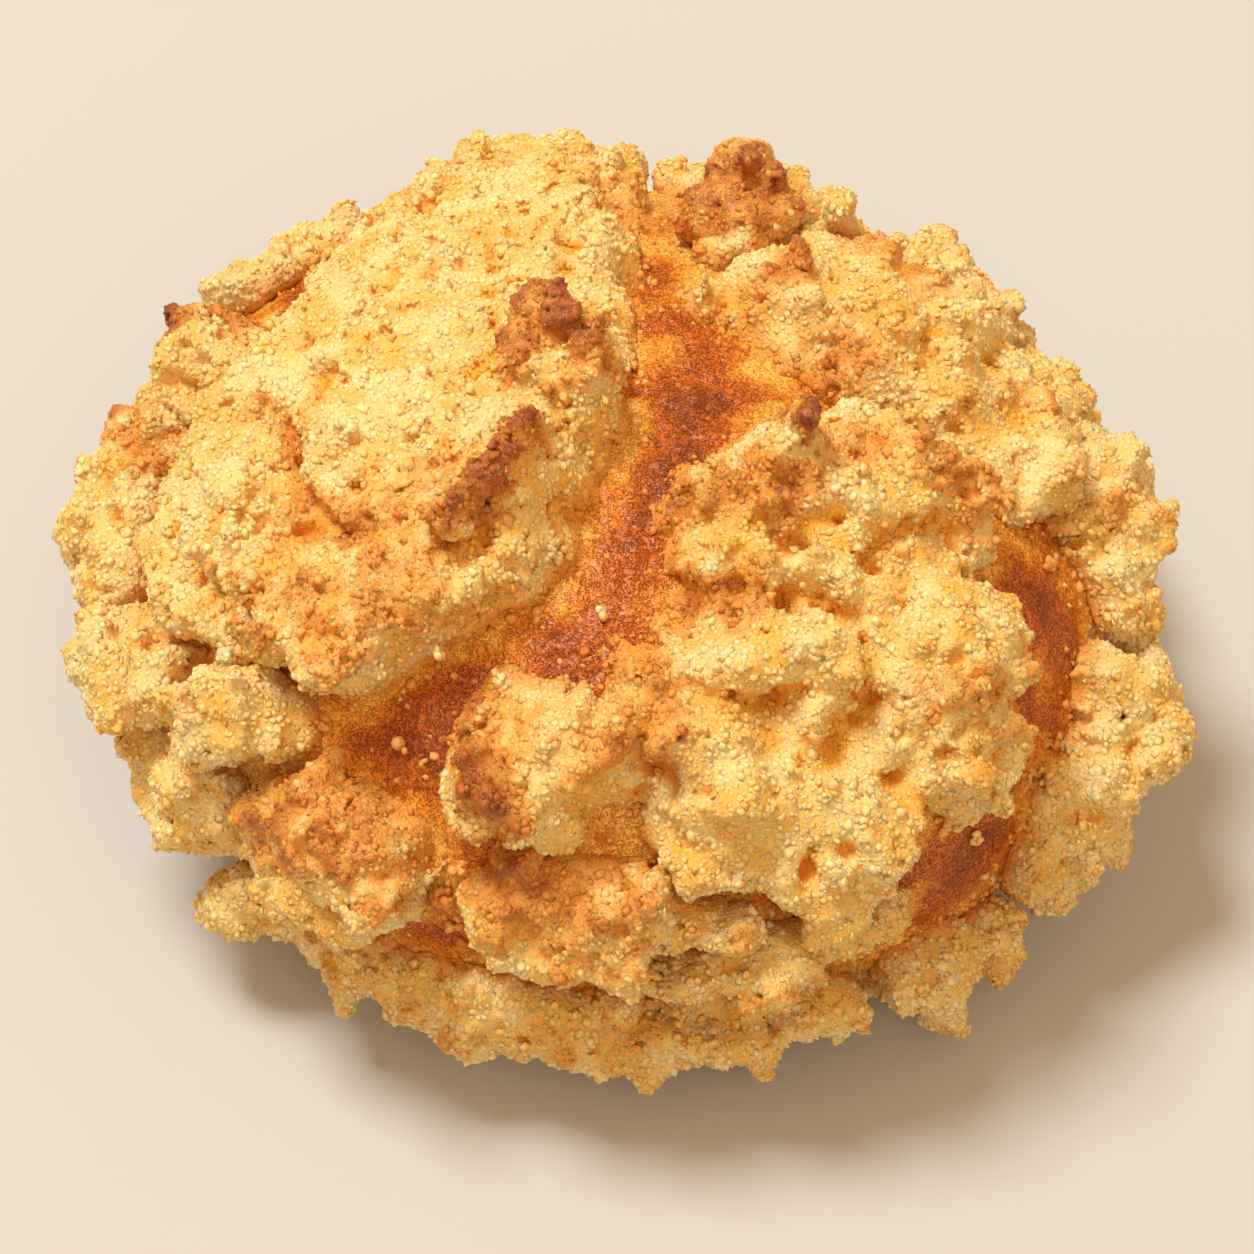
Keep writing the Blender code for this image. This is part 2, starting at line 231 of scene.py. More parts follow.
class Finish:
    """A new material and the few kinds of node that its colours are mixed with."""

    def __init__(self, name):
        self.material = bpy.data.materials.new(name)
        self.material.use_nodes = True
        self.nodes = self.material.node_tree.nodes
        self.links = self.material.node_tree.links
        self.surface = self.nodes["Principled BSDF"]
        self.place = self.nodes.new("ShaderNodeTexCoord").outputs["Object"]

    def plug(self, value, socket):
        """Links a node's output to a socket, or sets the socket to a number or a colour."""
        if isinstance(value, bpy.types.NodeSocket):
            self.links.new(value, socket)
        elif isinstance(value, tuple):
            socket.default_value = (*value, 1.0) if len(socket.default_value) == 4 else value
        else:
            socket.default_value = value

    def attribute(self, name):
        """A number that the mesh carries at its corners."""
        node = self.nodes.new("ShaderNodeAttribute")
        node.attribute_name = name
        return node.outputs["Fac"]

    def height(self):
        """How high above the table a place is, in metres."""
        node = self.nodes.new("ShaderNodeSeparateXYZ")
        self.links.new(self.place, node.inputs[0])
        return node.outputs["Z"]

    def grain(self, width, detail=2.0, twist=0.0, seed=0.0):
        """Soft noise from 0 to 1, its lumps about that many millimetres wide."""
        node = self.nodes.new("ShaderNodeTexNoise")
        node.noise_dimensions = "4D"
        self.links.new(self.place, node.inputs["Vector"])
        self.plug(1.0 / (width * MM), node.inputs["Scale"])
        self.plug(detail, node.inputs["Detail"])
        self.plug(twist, node.inputs["Distortion"])
        self.plug(seed, node.inputs["W"])
        return node.outputs["Fac"]

    def ramp(self, value, low, high, low_to=0.0, high_to=1.0):
        """A value carried smoothly from one range to another and held at its ends."""
        node = self.nodes.new("ShaderNodeMapRange")
        node.interpolation_type = "SMOOTHSTEP"
        for socket, given in zip(node.inputs, (value, low, high, low_to, high_to)):
            self.plug(given, socket)
        return node.outputs["Result"]

    def sum(self, *values):
        """Several values added together."""
        total = values[0]
        for value in values[1:]:
            total = self.maths("ADD", total, value)
        return total

    def maths(self, operation, first, second):
        """Two values put through one of Blender's sums."""
        node = self.nodes.new("ShaderNodeMath")
        node.operation = operation
        self.plug(first, node.inputs[0])
        self.plug(second, node.inputs[1])
        return node.outputs[0]

    def mix(self, share, first, second):
        """One colour laid over another by that share."""
        node = self.nodes.new("ShaderNodeMix")
        node.data_type = "RGBA"
        self.plug(share, node.inputs["Factor"])
        self.plug(first, node.inputs[6])
        self.plug(second, node.inputs[7])
        return node.outputs[2]

    def relief(self, *layers):
        """Fine relief, each layer a height from 0 to 1 and its depth in millimetres."""
        normal = None
        for value, depth in layers:
            node = self.nodes.new("ShaderNodeBump")
            self.plug(value, node.inputs["Height"])
            self.plug(depth * MM, node.inputs["Distance"])
            if normal:
                self.links.new(normal, node.inputs["Normal"])
            normal = node.outputs["Normal"]
        self.links.new(normal, self.surface.inputs["Normal"])

    def set(self, **values):
        """Sets or links inputs of the surface by their names."""
        for name, value in values.items():
            self.plug(value, self.surface.inputs[name.replace("_", " ")])


def glazed_skin():
    """Egg-glazed crust: golden under the crumb's shade, umber where it lay open, with fine wrinkles
    whose creases carry painted shade.
    """
    skin = Finish("glazed_skin")
    golden, orange = (0.93, 0.50, 0.085), (0.82, 0.29, 0.024)
    brown, umber, crease_shade_brown = (0.53, 0.118, 0.009), (0.30, 0.064, 0.007), (0.20, 0.038, 0.006)
    pale = (0.80, 0.55, 0.25)
    blotch = skin.grain(7.0, 3.0, 0.4, 1.0)
    depth = skin.maths("MULTIPLY_ADD", skin.attribute("open_skin"), 0.8)
    skin.links.new(skin.ramp(blotch, 0.25, 0.75, -0.34, 0.34), depth.node.inputs[2])
    colour = skin.mix(skin.ramp(depth, 0.0, 0.28), golden, orange)
    colour = skin.mix(skin.ramp(depth, 0.2, 0.6), colour, brown)
    colour = skin.mix(skin.ramp(depth, 0.6, 1.05), colour, umber)
    fibre = skin.grain(0.55, 2.0, 1.2, 2.0)
    worms = skin.ramp(skin.maths("ABSOLUTE", skin.maths("SUBTRACT", fibre, 0.5), 0.0), 0.0, 0.055)
    # painted shade: the fine creases of the open skin are coloured a darker brown to stand for the
    # shade in them
    creases = skin.maths("MULTIPLY", skin.ramp(worms, 0.8, 0.0), skin.ramp(depth, 0.1, 0.5, 0.15, 0.6))
    colour = skin.mix(creases, colour, crease_shade_brown)
    knots = skin.maths("MULTIPLY", skin.ramp(fibre, 0.6, 0.74), 0.35)
    colour = skin.mix(knots, colour, orange)
    colour = skin.mix(skin.ramp(skin.height(), 14 * MM, 3 * MM), colour, pale)
    skin.set(Base_Color=colour, Roughness=skin.ramp(fibre, 0.35, 0.65, 0.25, 0.45))
    skin.set(Coat_Weight=0.04, Coat_Roughness=0.2, Specular_IOR_Level=0.34)
    ripples, pores = skin.grain(1.6, 2.0, 0.6, 4.0), skin.grain(0.25, 2.0, 0.5, 3.0)
    skin.relief((ripples, 0.35), (worms, 0.16), (pores, 0.12))
    return skin.material


roll = bake_roll()
roll.data.materials.append(glazed_skin())
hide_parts("bread")
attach(roll, "root")

# ---------------------------------------------------------------------------
# The crown of the streusel. Butter, sugar and flour rubbed to crumbs and laid
# on thickly; in the oven the crumbs run together into a pale golden plate,
# pitted like a sponge, that cracks away from its neighbours as the roll rises.
# ---------------------------------------------------------------------------

ROLL_SKIN = BVHTree.FromObject(roll, bpy.context.evaluated_depsgraph_get())
OUTSIDE = 0.09  # metres from the roll's middle, clear of all the crumb
# Two sizes of crumb: least and greatest width in millimetres, how flat, and the share that is sunk.
CRUMBS = {"clump": (2.8, 4.6, 0.6, 0.12), "nugget": (1.5, 2.5, 0.8, 0.10)}
CHUNK_WIDTH = 6.5
BEADS_TRIED = 9.0  # for each square millimetre, of which spacing leaves fewer
BEAD_GAP = 0.51
BEAD_LEAST, BEAD_SPREAD = 0.8, 0.75
BEAD_SUNK = (0.15, 0.39)
# painted shade: the crumb between the beads gets this low top value, so it is coloured honey as if in
# shade
BETWEEN_BEADS_SHADE = 0.42  # between the beads, where their tops are 1
BODY_FINENESS = 0.6
INNER_SHARE = 0.12


def triangles_of(mesh):
    """A mesh's faces as rows of three corners."""
    mesh.calc_loop_triangles()
    rows = np.empty(len(mesh.loop_triangles) * 3, np.int32)
    mesh.loop_triangles.foreach_get("vertices", rows)
    return rows.reshape(-1, 3)


def edges_of(mesh):
    """A mesh's edges as rows of two corners."""
    rows = np.empty(len(mesh.edges) * 2, np.int32)
    mesh.edges.foreach_get("vertices", rows)
    return rows.reshape(-1, 2)


def averaged(values, edges, times):
    """Each vertex's value blended with its neighbours', that many times over."""
    count = len(values)
    ends = np.concatenate([edges[:, 0], edges[:, 1]])
    others = np.concatenate([edges[:, 1], edges[:, 0]])
    near = np.maximum(np.bincount(ends, minlength=count), 1)
    for _ in range(times):
        around = np.stack([np.bincount(ends, column[others], count) for column in values.T], 1)
        values = 0.5 * values + 0.5 * around / near[:, None]
    return values


def mesh_from(corners, faces):
    """A mesh of triangles."""
    mesh = bpy.data.meshes.new("crumb")
    mesh.vertices.add(len(corners))
    mesh.vertices.foreach_set("co", corners.astype(np.float32).ravel())
    mesh.loops.add(faces.size)
    mesh.loops.foreach_set("vertex_index", faces.astype(np.int32).ravel())
    mesh.polygons.add(len(faces))
    mesh.polygons.foreach_set("loop_start", np.arange(0, faces.size, 3, dtype=np.int32))
    mesh.update(calc_edges=True)
    return mesh


def fused(corners, faces, fineness):
    """One closed skin of that fineness in millimetres round a heap of closed shapes that overlap."""
    piece = bpy.data.objects.new("crumb", mesh_from(corners, faces))
    bpy.context.scene.collection.objects.link(piece)
    skin = piece.modifiers.new("fused", "REMESH")
    skin.mode = "VOXEL"
    skin.voxel_size = fineness * MM
    mesh = settle(piece)
    bpy.data.objects.remove(piece)
    return mesh


def seats(mesh, per_square_mm, rng):
    """Places spread at random over a plate's top and rim, the way each faces, and a corner close by."""
    corners, faces = corners_of(mesh), triangles_of(mesh)
    a, b, c = (corners[faces[:, i]] for i in range(3))
    cross = np.cross(b - a, c - a)
    area = np.linalg.norm(cross, axis=1) / 2
    facing = cross / np.maximum(2 * area, 1e-20)[:, None]
    shown = (facing * outward((a + b + c) / 3)).sum(1) > -0.25
    share = np.where(shown, area, 0.0)
    count = int(share.sum() / MM**2 * per_square_mm)
    pick = rng.choice(len(faces), count, p=share / share.sum())
    u, v = rng.random(count), rng.random(count)
    over = u + v > 1
    u[over], v[over] = 1 - u[over], 1 - v[over]
    places = a[pick] + (b - a)[pick] * u[:, None] + (c - a)[pick] * v[:, None]
    return places, facing[pick], faces[pick, 0]


def unit_ball():
    """Corners and faces of a ball of radius one."""
    ball = bmesh.new()
    bmesh.ops.create_icosphere(ball, subdivisions=2, radius=1.0)
    knobs = np.array([v.co for v in ball.verts])
    sides = np.array([[v.index for v in f.verts] for f in ball.faces])
    ball.free()
    return knobs, sides


def unit_bead():
    """Corners and faces of a low bead: a top, a waist of five corners and a foot."""
    turns = math.tau * np.arange(5) / 5
    waist = np.stack([np.cos(turns), np.sin(turns), np.full(5, 0.12)], 1)
    knobs = np.concatenate([[[0.0, 0.0, 0.92]], waist, [[0.0, 0.0, -0.5]]])
    pairs = [(1 + i, 1 + (i + 1) % 5) for i in range(5)]
    sides = [side for a, b in pairs for side in ((0, a, b), (6, b, a))]
    return knobs, np.array(sides)


def lumps(places, facings, widths, flatness, rng, shape=unit_ball, rough=0.1):
    """Corners and faces of a knobbly lump at each place, and how near its top each corner is."""
    knobs, sides = shape()
    count = len(places)
    up = facings + rng.normal(0, 0.3, (count, 3))
    up /= np.linalg.norm(up, axis=1)[:, None]
    along = np.cross(up, rng.normal(0, 1, (count, 3)))
    along /= np.linalg.norm(along, axis=1)[:, None]
    axes = np.stack([along, np.cross(up, along), up], 1)
    stretch = rng.uniform(0.8, 1.25, (count, 1, 3)) * np.array([1.0, 1.0, flatness])
    knobbly = knobs[None] * rng.uniform(1 - rough, 1 + rough, (count, len(knobs), 1)) * stretch
    knobbly = np.einsum("nvi,nij->nvj", knobbly * (widths[:, None, None] / 2), axes)
    corners = (knobbly + places[:, None]).reshape(-1, 3)
    faces = (sides[None] + len(knobs) * np.arange(count)[:, None, None]).reshape(-1, 3)
    tops = np.einsum("nvi,ni->nv", knobbly, facings) / widths[:, None] + 0.5
    return corners, faces, tops.ravel()


def heaped(mesh, corners, faces):
    """A mesh's corners and faces with those of a batch of lumps added."""
    first = corners_of(mesh)
    return np.concatenate([first, corners]), np.concatenate([triangles_of(mesh), faces + len(first)])


def sow(mesh, kind, per_square_mm, rng):
    """Beds one size of crumb in a plate and runs the two together."""
    least, most, flatness, sunk = CRUMBS[kind]
    places, facings, _ = seats(mesh, per_square_mm, rng)
    widths = rng.uniform(least, most, len(places)) * MM
    places = places - facings * (widths * sunk)[:, None]
    corners, faces, _ = lumps(places, facings, widths, flatness, rng, rough=0.18)
    return fused(*heaped(mesh, corners, faces), BODY_FINENESS)


def drift(at):
    """A soft shove whose direction changes from place to place, the same each time."""
    return Vector([noise.noise(at + Vector((apart, 0, 0))) for apart in (0, 17.3, 31.7)])


def broken(places, width, seed):
    """Chunks about that many millimetres wide: how high each stands, and how near its edge is."""
    shift = Vector((seed * 2.17, seed * 6.11, seed * 4.43))
    steps, edges = np.zeros(len(places)), np.zeros(len(places))
    for i, place in enumerate(places / (width * MM)):
        at = Vector(place) + shift
        at += 0.4 * drift(at * 1.6)
        away, middles = noise.voronoi(at)
        steps[i] = noise.cell(middles[0] * 5.3)
        edges[i] = max(0.0, 1 - (away[1] - away[0]) / 0.2)
    return steps - steps.mean(), edges


def craggy(mesh, seed, step, furrow):
    """Breaks a smooth plate into chunks at different heights with furrows between them."""
    places = corners_of(mesh)
    facing, ways = normals_of(mesh), outward(places)
    steps, edges = broken(places, CHUNK_WIDTH, seed)
    small, cracks = broken(places, CHUNK_WIDTH * 0.42, seed + 30)
    lift = step * (steps + 0.4 * small) - furrow * (edges + 0.4 * cracks)
    lift += 0.5 * lumpy(places, 6.0, seed) + 0.25 * lumpy(places, 2.4, seed + 1)
    shown = np.clip(0.6 + (facing * ways).sum(1), 0, 1)
    press = -0.5 * np.clip(-0.3 - (facing * ways).sum(1), 0, 1)
    move_corners(mesh, places + facing * (lift * shown * MM)[:, None] + ways * (press * MM)[:, None])


def above_roll(places):
    """How far from the roll's skin each place is, in millimetres."""
    return np.array([ROLL_SKIN.find_nearest(Vector(p))[3] for p in places]) / MM


def bedded(mesh):
    """Presses a plate's underside and the foot of its rim on to the roll, so that no gap shows."""
    places, facing = corners_of(mesh), normals_of(mesh)
    ways = outward(places)
    away = above_roll(places)
    lean = (facing * ways).sum(1)
    low = np.clip(1 - (away - 0.3) / 1.3, 0, 1) ** 1.5
    below = np.clip(1 - (away - 1.0) / 4.0, 0, 1) * np.clip(0.2 - 1.6 * lean, 0, 1)
    spread = (facing - ways * lean[:, None]) * (0.8 * low * (1 - np.abs(lean)))[:, None]
    move_corners(mesh, places + (spread - ways * ((away + 0.3) * np.maximum(low, below))[:, None]) * MM)


def carved(mesh, lines):
    """Sinks furrows and slopes into a plate, each a width and a depth in millimetres and its stops."""
    places = corners_of(mesh)
    push = strongest(places, lines)
    deep = np.flatnonzero(push > 0)
    push[deep] = np.minimum(push[deep], above_roll(places[deep]) + 0.5)
    move_corners(mesh, places - outward(places) * (push * MM)[:, None])


def piled(mesh, lines, rng):
    """Heaps nuggets along ridges of a plate, each a width and a rise in millimetres and its stops."""
    surface = BVHTree.FromPolygons(corners_of(mesh).tolist(), triangles_of(mesh).tolist())
    middles, facings = [], []
    for width, rise, *stops in lines:
        for step in line_of(stops):
            hit = surface.ray_cast(Vector(ROLL_CENTRE + step * OUTSIDE), Vector(-step), OUTSIDE)[0]
            for layer in range(int(rise / 0.8) + 1) if hit else ():
                narrow = 0.5 * width * (1 - 0.8 * layer * 0.8 / (rise + 0.8))
                shift = step * 0.8 * layer + rng.normal(0, 0.6, 3) * narrow
                middles.append(np.array(hit) + shift * MM)
                facings.append(step)
    widths = rng.uniform(1.0, 2.6, len(middles)) * MM
    corners, faces, _ = lumps(np.array(middles), np.array(facings), widths, 0.9, rng, rough=0.3)
    return fused(*heaped(mesh, corners, faces), BODY_FINENESS)


def sunken(mesh, per_square_mm, rng):
    """Pushes small ragged pits into a plate and returns how deep in one each corner lies."""
    centres, _, _ = seats(mesh, per_square_mm, rng)
    tree = tree_of(centres)
    reach = rng.uniform(0.45, 1.1, len(centres)) * MM
    places = corners_of(mesh)
    depth = np.zeros(len(places))
    for i, place in enumerate(places):
        wander = drift(Vector(place) / (1.1 * MM)) * (0.6 * MM)
        _, j, off = tree.find(Vector(place) + wander)
        depth[i] = max(0.0, 1 - (off / reach[j]) ** 2)
    move_corners(mesh, places - normals_of(mesh) * (depth * 1.3 * MM)[:, None])
    return depth


def thin_inside(mesh):
    """Keeps fewer faces on the hidden side, which lies against the roll."""
    piece = bpy.data.objects.new("crumb", mesh)
    bpy.context.scene.collection.objects.link(piece)
    mesh = coarser(piece, (normals_of(mesh) * outward(corners_of(mesh))).sum(1) < -0.5, INNER_SHARE)
    bpy.data.objects.remove(piece)
    return mesh


def spaced(places, gap):
    """Which of the places to keep so that none stands closer to another than the gap."""
    tree = tree_of(places)
    kept = np.ones(len(places), bool)
    for i, place in enumerate(places):
        if kept[i]:
            for _, j, _ in tree.find_range(place, gap):
                if j > i:
                    kept[j] = False
    return kept


def survey(mesh, seed, toasts):
    """How high, how browned, how shaded and how near the roll each corner of a plate lies."""
    places, edges, facing = corners_of(mesh), edges_of(mesh), normals_of(mesh)
    ways = outward(places)
    near = averaged(places, edges, 2)
    wide = averaged(near, edges, 70)
    rise = ((near - wide) * ways).sum(1) / MM
    patch = 0.7 * lumpy(places, 9.0, seed + 50) + 0.35 * lumpy(places, 3.0, seed + 60)
    leaning = averaged((facing * ways).sum(1)[:, None], edges, 4)[:, 0]
    browned = strongest(places, toasts) if toasts else 0.0
    return {
        "rise": 0.5 + rise / 2.4,
        "toast": browned * (1 + 0.5 * lumpy(places, 3.0, seed + 70)) + 0.4 * patch,
        "under": np.clip(0.3 - leaning, 0, 1) * 1.5,
        "thin": np.clip(1.3 - above_roll(places) / 1.6, 0, 1),
    }


def fringe(mesh, per_square_mm, reach, rng):
    """Places on the roll close round a plate's rim where loose beads of crumb lie."""
    places, facings, near = seats(mesh, per_square_mm, rng)
    rim = (facings * outward(places)).sum(1) < 0.6
    places, facings, near = places[rim], facings[rim], near[rim]
    places = places + facings * (rng.exponential(reach, len(places)) * MM)[:, None]
    keep = np.zeros(len(places), bool)
    for i, place in enumerate(places):
        spot, normal, _, away = ROLL_SKIN.find_nearest(Vector(place))
        keep[i] = away < 2.5 * MM
        places[i], facings[i] = spot, normal
    return places[keep], facings[keep], near[keep]


def beaded(mesh, facts, pits, rng):
    """Packs a plate with beads of crumb and returns the finished mesh with its marks."""
    places, facings, near = seats(mesh, BEADS_TRIED, rng)
    keep = (pits[near] < 0.3) | (rng.random(len(near)) < 0.1)
    keep &= rng.random(len(near)) > 0.7 * facts["thin"][near]
    loose = fringe(mesh, 1.0, 0.9, rng)
    rows = [np.concatenate([x[keep], y]) for x, y in zip((places, facings, near), loose)]
    kept = spaced(rows[0], BEAD_GAP * MM)
    places, facings, near = (row[kept] for row in rows)
    widths = (BEAD_LEAST + BEAD_SPREAD * rng.random(len(places)) ** 2) * MM
    sunk = widths * rng.uniform(*BEAD_SUNK, len(places))
    middles = places - facings * sunk[:, None]
    corners, faces, tops = lumps(middles, facings, widths, 1.0, rng, unit_bead, 0.22)
    whole = mesh_from(*heaped(mesh, corners, faces))
    per_bead = len(corners) // max(len(places), 1)
    values = {}
    for name, fact in facts.items():
        values[name] = np.concatenate([fact, np.repeat(fact[near], per_bead)])
    strays = np.repeat(np.arange(len(kept))[kept] >= keep.sum(), per_bead)
    values["thin"][len(facts["thin"]):] += 0.5 * strays
    change = np.repeat(rng.normal(0, 1, len(places)), per_bead)
    values["toast"][len(facts["toast"]):] += 0.07 * change
    body = np.ones(len(mesh.vertices))
    # painted shade: the beads' tops are marked high and come out cream, the body between them lower and
    # honey coloured
    values["top"] = np.concatenate([BETWEEN_BEADS_SHADE * body, (tops - 0.38) / 0.57])
    values["tint"] = np.concatenate([0.5 * body, 0.5 + 0.2 * change])
    for name, value in values.items():
        mark(whole, name, np.clip(value, 0, 1))
    bpy.data.meshes.remove(mesh)
    return whole


def crumb_plate(node, seed, toasts=(), piles=(), furrows=(), step=1.9, furrow=1.0,
                clumps=0.035, nuggets=0.16, pits=0.05):
    """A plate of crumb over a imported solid: chunks, clumps, nuggets and beads, with pits between.

    Toasted places, piles and furrows are lines: a width in millimetres, a strength, a rise or a
    depth, and stops. Clumps, nuggets and pits are how many there are for each square millimetre.
    """
    rng = np.random.default_rng(seed)
    plate = welded_copy(node, node.replace("streusel", "crumb"))
    mesh = fused(corners_of(plate.data), triangles_of(plate.data), BODY_FINENESS)
    move_corners(mesh, averaged(corners_of(mesh), edges_of(mesh), 6))
    craggy(mesh, seed, step, furrow)
    mesh = sow(mesh, "clump", clumps, rng)
    mesh = sow(mesh, "nugget", nuggets, rng)
    if furrows:
        carved(mesh, furrows)
    if piles:
        mesh = piled(mesh, piles, rng)
    bedded(mesh)
    mesh = thin_inside(mesh)
    pitted = sunken(mesh, pits, rng)
    mesh = beaded(mesh, survey(mesh, seed, toasts), pitted, rng)
    places = corners_of(mesh)
    places[:, 2] = np.maximum(places[:, 2], 0.15 * MM)
    move_corners(mesh, places)
    mesh.validate()
    mesh.shade_smooth()
    old = plate.data
    plate.data = mesh
    bpy.data.meshes.remove(old)
    plate.data.materials.append(BAKED_CRUMB)
    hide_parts(node)
    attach(plate, "root")


def baked_crumb():
    """Crumb: cream on the beads' tops and honey between them as painted shade, darker orange painted as
    shade in hollows and pits, amber to burnt where the heat reached it.
    """
    crumb = Finish("baked_crumb")
    cream, butter, honey = (0.94, 0.70, 0.35), (0.91, 0.56, 0.17), (0.86, 0.42, 0.06)
    amber, toasted, burnt = (0.74, 0.29, 0.040), (0.43, 0.115, 0.014), (0.22, 0.045, 0.008)
    pale, hollow_shade, deep = (0.90, 0.68, 0.36), (0.84, 0.38, 0.03), (0.66, 0.20, 0.012)
    top, tint = crumb.attribute("top"), crumb.attribute("tint")
    rise, under = crumb.attribute("rise"), crumb.attribute("under")
    patches = crumb.ramp(crumb.grain(5.0, 4.0, 0.3, 5.0), 0.35, 0.65, -0.34, 0.2)
    fine = crumb.grain(0.5, 3.0, 0.3, 10.0)
    # painted shade: the top mark makes bead tops cream and the crumb between them honey; tint, patches
    # and fine noise add tone that differs at random
    light = crumb.sum(
        crumb.ramp(top, 0.0, 1.0, 0.14, 0.9), crumb.ramp(tint, 0.0, 1.0, -0.2, 0.2),
        patches, crumb.ramp(fine, 0.3, 0.7, -0.12, 0.12),
    )
    colour = crumb.mix(crumb.ramp(light, 0.0, 0.5), honey, butter)
    colour = crumb.mix(crumb.ramp(light, 0.35, 1.0), colour, cream)
    # painted shade: low places in the plate and the bottoms of its pits are coloured a darker orange as
    # shade
    colour = crumb.mix(crumb.ramp(rise, 0.45, 0.15), colour, hollow_shade)
    colour = crumb.mix(crumb.ramp(rise, 0.2, 0.0, 0.0, 0.7), colour, deep)
    colour = crumb.mix(crumb.maths("MULTIPLY", under, 0.6), colour, pale)
    heat = crumb.sum(crumb.attribute("toast"), crumb.ramp(rise, 0.6, 1.0, 0.0, 0.25))
    heat = crumb.sum(heat, crumb.ramp(crumb.grain(1.8, 3.0, 0.2, 7.0), 0.3, 0.75, -0.16, 0.26))
    heat = crumb.sum(heat, crumb.ramp(top, 0.0, 1.0, -0.05, 0.05))
    colour = crumb.mix(crumb.ramp(crumb.attribute("thin"), 0.0, 1.0, 0.0, 0.75), colour, amber)
    colour = crumb.mix(crumb.ramp(heat, 0.2, 0.75), colour, amber)
    colour = crumb.mix(crumb.ramp(heat, 0.6, 1.15), colour, toasted)
    colour = crumb.mix(crumb.ramp(heat, 1.1, 1.5), colour, burnt)
    specks = crumb.ramp(crumb.grain(0.45, 1.0, 0.0, 8.0), 0.73, 0.78)
    colour = crumb.mix(crumb.maths("MULTIPLY", specks, 0.7), colour, burnt)
    gloss = crumb.ramp(crumb.grain(0.4, 2.0, 0.0, 9.0), 0.35, 0.65, 0.25, 0.65)
    crumb.set(Base_Color=colour, Roughness=gloss)
    crumb.set(Subsurface_Weight=0.4, Subsurface_Radius=(1.0, 0.45, 0.18), Subsurface_Scale=0.8 * MM)
    crumb.relief((fine, 0.36), (crumb.grain(0.2, 2.0, 0.2, 11.0), 0.08))
    return crumb.material


BAKED_CRUMB = baked_crumb()

crumb_plate(
    "streusel_crown", 1,
    toasts=(
        (8, 0.9, (237, 39), (239, 33)), (7, 1.2, (240, 31), (242, 22)),
        (7, 0.95, (204, 15), (181, 11), (168, 9)), (7, 1.2, (181, 9), (217, 8), (240, 8)),
        (12, 0.45, (236, 8), (215, 16)), (16, 0.5, (232, 47), (226, 40)),
        (15, 0.45, (216, 54), (226, 52), (236, 50)), (11, 1.0, (152, 61), (164, 60)),
        (8, 0.5, (100, 40), (80, 41)), (7, 1.0, (158, 70), (168, 68), (180, 66)),
        (10, 0.4, (93, 58), (88, 40)), (7, 0.5, (208, 50), (217, 46), (224, 42)),
        (3.5, 0.6, (182, 49), (194, 48), (206, 47), (219, 46)),
        (7, 0.7, (158, 66), (145, 68), (130, 66), (118, 62)),
    ),
    piles=(
        (3.4, 3.0, (237, 37), (239, 32), (241, 26), (242, 22)),
        (3.6, 2.0, (204, 15), (182, 11), (168, 9)), (3.4, 1.8, (181, 9), (217, 8), (238, 8), (255, 10)),
        (4.0, 0.8, (221, 13), (248, 14)), (3.0, 1.0, (161, 66), (163, 57)),
        (4.0, 1.0, (205, 58), (220, 58), (232, 56), (240, 51)),
        (3.0, 0.8, (240, 46), (246, 42)),
    ),
    furrows=(
        (2.4, 2.2, (182, 49), (194, 48), (206, 47), (219, 46)),
        (2.8, 1.8, (208, 50), (217, 46), (224, 42), (232, 37), (232, 31)),
        (3.0, 2.2, (94, 33), (108, 22), (116, 19)), (13, 8.0, *LONG_CRACK), (8, 6.0, *HEAD_CRACK),
        (14, 3.6, (300, 16), (280, 22), (268, 30), (260, 37)),
        (12, 7.0, (266, 39), (259, 43), (251, 48.5), (244, 55)),
        (7, 4.0, (60, 15), (80, 25), (88, 36), (91, 50)), (7, 7.0, *LEFT_CRACK),
    ),
    step=0.9, furrow=0.3, clumps=0.008, nuggets=0.06, pits=0.13,
)

# ---------------------------------------------------------------------------
# The right of the roll. The thickest plate: the crumb held together in one
# craggy slab that ends in a torn ledge low on the side, with deep holes in it.
# ---------------------------------------------------------------------------

crumb_plate(
    "streusel_right", 2,
    toasts=(
        (5, 1.15, (318, 29), (326, 27)), (10, 0.7, (284, 29), (293, 28), (303, 31), (307, 34)),
        (8, 0.65, (279, 36), (280, 42), (292, 43)),
        (8, 0.55, (328, 33), (336, 38), (336, 47), (336, 51)),
        (9, 0.7, (268, 49), (276, 51)), (11, 0.85, (249, 57), (256, 62)),
        (12, 0.45, (262, 56), (276, 57)), (8, 0.35, (270, 55), (284, 53)),
        (14, 0.4, (312, 62), (318, 64)), (10, 0.35, (320, 46), (328, 55)),
    ),
    piles=(
        (1.6, 3.2, (317, 29), (324, 27)), (4.0, 1.6, (285, 29), (293, 28), (301, 31), (307, 34)),
        (2.6, 1.0, (336, 40), (338, 46), (336, 51)), (3.0, 1.2, (271, 49), (276, 51)),
        (3.0, 1.0, (251, 58), (257, 63)),
    ),
    furrows=(
        (3.4, 2.6, (306, 49), (306, 52), (307, 54)), (2.4, 2.2, (313, 57), (314, 59)),
        (2.0, 1.4, (314, 45), (326, 46), (332, 49)), (5.6, 2.6, (281, 43), (288, 45), (299, 46)),
        (13, 7.0, *LONG_CRACK), (11, 7.0, *RIGHT_CRACK), (2.4, 2.0, (281, 52), (290, 55), (300, 55)),
        (2.4, 2.4, (303, 57), (304, 59), (300, 62), (301, 66), (306, 71)),
        (2.2, 1.8, (274, 63), (278, 68), (283, 71)),
        (2.0, 2.0, (289, 57), (291, 60)), (9, 7.0, (273, 44), (265, 47), (258, 51), (252, 54)),
    ),
    step=2.3, furrow=1.1, clumps=0.03, nuggets=0.14, pits=0.05,
)

# ---------------------------------------------------------------------------
# The other plates and scraps, in the order that they lie round the roll. Each
# is the same crumb, a little browner where it stood up into the heat.
# ---------------------------------------------------------------------------

